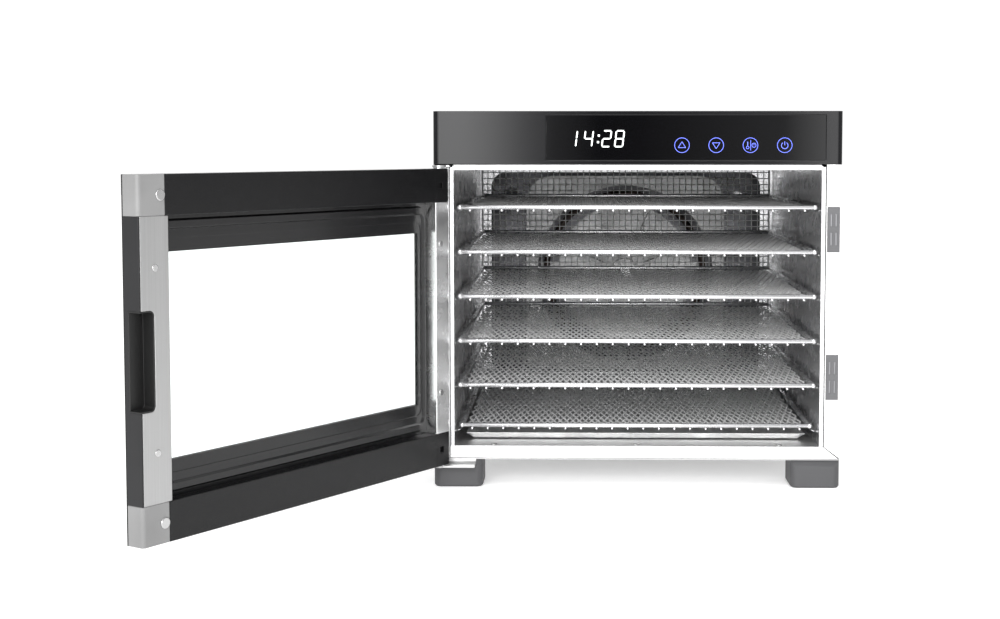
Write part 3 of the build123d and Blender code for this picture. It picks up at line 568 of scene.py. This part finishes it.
def make_display():
    """The time on the display: two figures, a colon and two more."""
    low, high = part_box("display_window")
    face = low.y
    bottom = (low.z + high.z) / 2 - DIGIT_HEIGHT / 2 - DIGITS_DROP
    left = low.x + DIGITS_INSET
    form = Form()
    for slot_index, character in ((0, "1"), (1, "4"), (2.42, "2"), (3.42, "8")):
        shift = LEADING_ONE_SHIFT * (slot_index == 0)
        digit(form, character, left + slot_index * DIGIT_PITCH - shift, bottom, face)
    colon = left + 2.13 * DIGIT_PITCH
    for share in (0.3, 0.68):
        z = DIGIT_HEIGHT * share
        x = colon + DIGIT_SLANT * z
        form.stroke((x, bottom + z - COLON_DOT), (x + 0.1 * MM, bottom + z + COLON_DOT), 2 * COLON_DOT,
                    face - DISPLAY_PROUD, face + DISPLAY_PROUD)
    form.piece("display_digits", "digits", "cabinet", "window_glass", 20)


def make_icons():
    """Four lit touch marks: up, down, time or temperature, and power."""
    window_low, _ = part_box("display_window")
    low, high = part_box("touch_pads")
    face = window_low.y
    front, back = face - DISPLAY_PROUD, face + DISPLAY_PROUD
    radius = (high.z - low.z) / 2
    height = (high.z + low.z) / 2
    count = 4
    line = 0.42 * MM
    pitch = (high.x - low.x - 2 * radius) / (count - 1)
    form = Form()
    for i in range(count):
        form.band((low.x + radius + pitch * i, height), radius - line / 2, line, front, back)
    for i, way in ((0, 1), (1, -1)):
        x = low.x + radius + pitch * i
        base = height - way * 2.0 * MM
        points = [Vector((x - 3.1 * MM, base)), Vector((x + 3.1 * MM, base)),
                  Vector((x, height + way * 2.9 * MM))]
        for k in range(3):
            form.stroke(points[k], points[(k + 1) % 3], line, front, back)
    x = low.x + radius + pitch * 2
    form.stroke((x + 0.2 * MM, height - 4.2 * MM), (x + 0.21 * MM, height + 4.2 * MM), line, front, back)
    form.band((x - 2.3 * MM, height - 1.9 * MM), 1.1 * MM, line, front, back, steps=20)
    form.stroke((x - 2.3 * MM, height - 0.9 * MM), (x - 2.29 * MM, height + 2.9 * MM), line * 1.5, front,
                back)
    form.band((x + 2.9 * MM, height), 1.7 * MM, line, front, back, steps=24)
    form.stroke((x + 2.9 * MM, height), (x + 2.91 * MM, height + 1.1 * MM), line, front, back)
    x = low.x + radius + pitch * 3
    form.band((x, height - 0.2 * MM), 2.7 * MM, line * 1.15, front, back, 125, 290)
    form.stroke((x, height), (x + 0.01 * MM, height + 3.2 * MM), line * 1.15, front, back)
    form.piece("touch_icons", "icons", "cabinet", "window_glass", 20)


DRESSED = {
    # node: material, slot, eased edge in mm
    "side_panel_left": ("outer_steel", "brushed_steel", 0.4),
    "side_panel_right": ("outer_steel", "brushed_steel", 0.4),
    "top_panel": ("top_steel", "brushed_steel", 0.4),
    "rear_panel": ("outer_steel", "brushed_steel", 0.3),
    "base_pan": ("bare_steel", "brushed_steel", 0.2),
    "front_flanges": ("flange_steel", "polished_steel", 0.35),
    "control_fascia": ("fascia", "black_fascia", 0.5),
    "display_window": ("window", "window_glass", 0.3),
    "liner_side_left": ("liner_steel", "polished_steel", 0.3),
    "liner_side_right": ("liner_steel", "polished_steel", 0.3),
    "liner_ceiling": ("bare_steel", "polished_steel", 0.3),
    "liner_floor": ("floor_steel", "polished_steel", 0.3),
    "rear_wall": ("liner_steel", "polished_steel", 0.3),
    "air_baffle": ("bare_steel", "polished_steel", 0.3),
    "motor_bracket": ("bare_steel", "polished_steel", 0.3),
    "fan_impeller": ("bare_steel", "impeller", 0.25),
    "fan_nut": ("chrome", "fasteners", 0.4),
    "feet": ("foot_grey", "foot_plastic", 0.6),
    "hinge_bracket_lower": ("bare_steel", "polished_steel", 0.2),
    "hinge_bracket_upper": ("bare_steel", "polished_steel", 0.2),
    "catch_plates": ("catch_grey", "catch_plastic", 0.2),
    "catch_poles": ("shaded_steel", "fasteners", 0.15),
    "cavity_fasteners": ("screw_steel", "fasteners", 0.1),
    "drip_tray": ("floor_steel", "polished_steel", 0.3),
    "cord_gland": ("foot_grey", "foot_plastic", 0.4),
    "door_panel": ("door_black", "black_frame", 0.4),
    "door_rail_top": ("door_black", "black_frame", 0.4),
    "door_rail_bottom": ("door_black", "black_frame", 0.4),
    "door_bezel": ("door_inner_black", "black_frame", 0.3),
    "door_gasket": ("edge_black", "black_fascia", 0.2),
    "door_hinge_corners": ("door_black", "black_frame", 0.4),
    "door_hinge_stile": ("flange_steel", "brushed_steel", 0.4),
    "door_handle_stile": ("stile_steel", "brushed_steel", 0.4),
    "door_edge_strip": ("edge_black", "black_fascia", 0.3),
    "door_finger_cup": ("recess_black", "black_fascia", 0.25),
    "door_free_corners": ("corner_grey", "grey_corners", 0.6),
    "door_screws": ("screw_steel", "fasteners", 0.1),
    "door_glass": ("glass", "door_glass", 0.3),
}
SHOWN_AS_MADE = {
    # The plenum walls and fan bulkhead take the dark shaded_steel, a painted shade for the depth behind the
    # baffle.
    "plenum_walls": "shaded_steel",
    "fan_bulkhead": "shaded_steel",
    "baffle_posts": "bare_steel",
    "fan_motor": "motor_grey",
    "fan_shaft": "chrome",
    "heating_element": "heater",
    "thermostat": "motor_grey",
    "temperature_sensor": "chrome",
    "display_board": "board_green",
    "touch_pads": "edge_black",
    "power_board": "board_green",
    "board_standoffs": "chrome",
    "hinge_pins": "chrome",
    "hinge_washers": "chrome",
}

for node, (material, slot, bevel) in DRESSED.items():
    dress(node, material, bevel)
for node, material in SHOWN_AS_MADE.items():
    recolour(node, material)
make_trays()
make_guard()
make_runners()
make_display()
make_icons()


# ---- stage, light and camera -----------------------------------------------------------------
def make_floor():
    floor = Form()
    reach = 8.0
    floor.add([(-reach, -reach, 0), (reach, -reach, 0), (reach, reach, 0), (-reach, reach, 0)],
              [(0, 1, 2, 3)])
    mesh = bpy.data.meshes.new("floor")
    mesh.from_pydata(floor.vertices, [], floor.faces)
    obj = add_object("floor", mesh)
    s = Shader("floor_white", (0.96, 0.96, 0.96), 0.6)
    s.rough(s.noise((3, 3, 3)), 0.55, 0.65)
    s.set("Emission Color", (1.0, 1.0, 1.0, 1.0))
    s.set("Emission Strength", 0.3)
    mesh.materials.append(s.material)


def area_light(name, place, aim, size, power):
    light = bpy.data.lights.new(name, "AREA")
    light.shape = "RECTANGLE"
    light.size, light.size_y = size
    light.energy = power
    obj = bpy.data.objects.new(name, light)
    obj.location = place
    obj.rotation_euler = (Vector(aim) - Vector(place)).to_track_quat("-Z", "Y").to_euler()
    bpy.context.scene.collection.objects.link(obj)


def sun_light(name, rotation, power, softness):
    light = bpy.data.lights.new(name, "SUN")
    light.energy = power
    light.angle = math.radians(softness)
    obj = bpy.data.objects.new(name, light)
    obj.rotation_euler = [math.radians(r) for r in rotation]
    bpy.context.scene.collection.objects.link(obj)


# What stands in front of the object in the studio, from left to right: soft boxes either side of a
# dark gap. x is the direction's X, and the level is its brightness.
STUDIO_FRONT = ((-0.16, 0.6), (-0.078, 1.1), (-0.061, 0.85), (-0.034, 0.3), (-0.017, 0.14), (0.011, 0.03),
                (0.038, 0.04), (0.082, 0.1), (0.127, 0.17), (0.154, 0.6), (0.193, 0.5))
FRONT_REACH = 0.2
FRONT_POWER = 3.0
BACKDROP = 1.05
HORIZON = 0.2
OVERHEAD = 0.9


def make_world():
    """White behind the object, dimmer at the sides near the horizon, soft boxes in front."""
    world = bpy.data.worlds.new("studio")
    bpy.context.scene.world = world
    world.use_nodes = True
    tree = world.node_tree

    def node(kind, **inputs):
        made = tree.nodes.new(kind)
        for key, value in inputs.items():
            made.inputs[key.replace("_", " ")].default_value = value
        return made

    def ramp(source, start, end):
        made = node("ShaderNodeMapRange", From_Min=start, From_Max=end)
        tree.links.new(source, made.inputs["Value"])
        return made.outputs["Result"]

    def mix(factor, low, high):
        made = tree.nodes.new("ShaderNodeMix")
        made.data_type = "FLOAT"
        for socket, value in zip(made.inputs[:4], (factor, None, low, high)):
            if isinstance(value, float):
                socket.default_value = value
            elif value is not None:
                tree.links.new(value, socket)
        return made.outputs[0]

    place = tree.nodes.new("ShaderNodeTexCoord")
    axes = tree.nodes.new("ShaderNodeSeparateXYZ")
    tree.links.new(place.outputs["Generated"], axes.inputs["Vector"])
    x, y, z = axes.outputs
    profile = tree.nodes.new("ShaderNodeValToRGB")
    stops = profile.color_ramp.elements
    while len(stops) < len(STUDIO_FRONT):
        stops.new(0.5)
    for stop, (aside, level) in zip(stops, STUDIO_FRONT):
        stop.position = (aside + FRONT_REACH) / (2 * FRONT_REACH)
        stop.color = (level, level, level, 1.0)
    tree.links.new(ramp(x, -FRONT_REACH, FRONT_REACH), profile.inputs["Fac"])
    boxes = tree.nodes.new("ShaderNodeMath")
    boxes.operation = "MULTIPLY"
    boxes.inputs[1].default_value = FRONT_POWER
    tree.links.new(profile.outputs["Color"], boxes.inputs[0])
    around = mix(ramp(z, -0.05, 0.5), HORIZON, OVERHEAD)
    around = mix(ramp(y, -0.8, -0.93), around, boxes.outputs[0])
    around = mix(ramp(y, 0.4, 0.8), around, BACKDROP)
    background = tree.nodes["Background"]
    tree.links.new(around, background.inputs["Strength"])
    background.inputs["Color"].default_value = (1.0, 1.0, 1.0, 1.0)


SUN_TURN = (28, -12, 0)
SUN_POWER = 0.9
SUN_SOFTNESS = 50
BOX_PLACE = (-0.25, -2.3, 0.75)
BOX_SIZE = (1.6, 0.9)
BOX_POWER = 44


def make_light(centre):
    make_world()
    sun_light("overhead", SUN_TURN, SUN_POWER, SUN_SOFTNESS)
    area_light("front_box", centre + Vector(BOX_PLACE), centre, BOX_SIZE, BOX_POWER)


CAMERA_BACK = 1.311
CAMERA_HEIGHT = 0.285
CAMERA_LEFT = 0.0464
CAMERA_YAW = math.radians(1.142)
CAMERA_PITCH = math.radians(3.709)
CAMERA_LENS = 56.77
CAMERA_SHIFT = (-0.05, -0.06)


def make_camera():
    low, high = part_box("front_flanges")
    data = bpy.data.cameras.new("camera")
    data.sensor_width = 36
    data.lens = CAMERA_LENS
    data.shift_x, data.shift_y = CAMERA_SHIFT
    camera = bpy.data.objects.new("camera", data)
    camera.location = ((low.x + high.x) / 2 - CAMERA_LEFT, low.y - CAMERA_BACK, CAMERA_HEIGHT)
    camera.rotation_euler = (math.pi / 2 - CAMERA_PITCH, 0, CAMERA_YAW)
    bpy.context.scene.collection.objects.link(camera)
    bpy.context.scene.camera = camera


make_floor()
flange_low, flange_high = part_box("front_flanges")
make_light((flange_low + flange_high) / 2)
make_camera()
bpy.context.scene.view_settings.view_transform = "Standard"
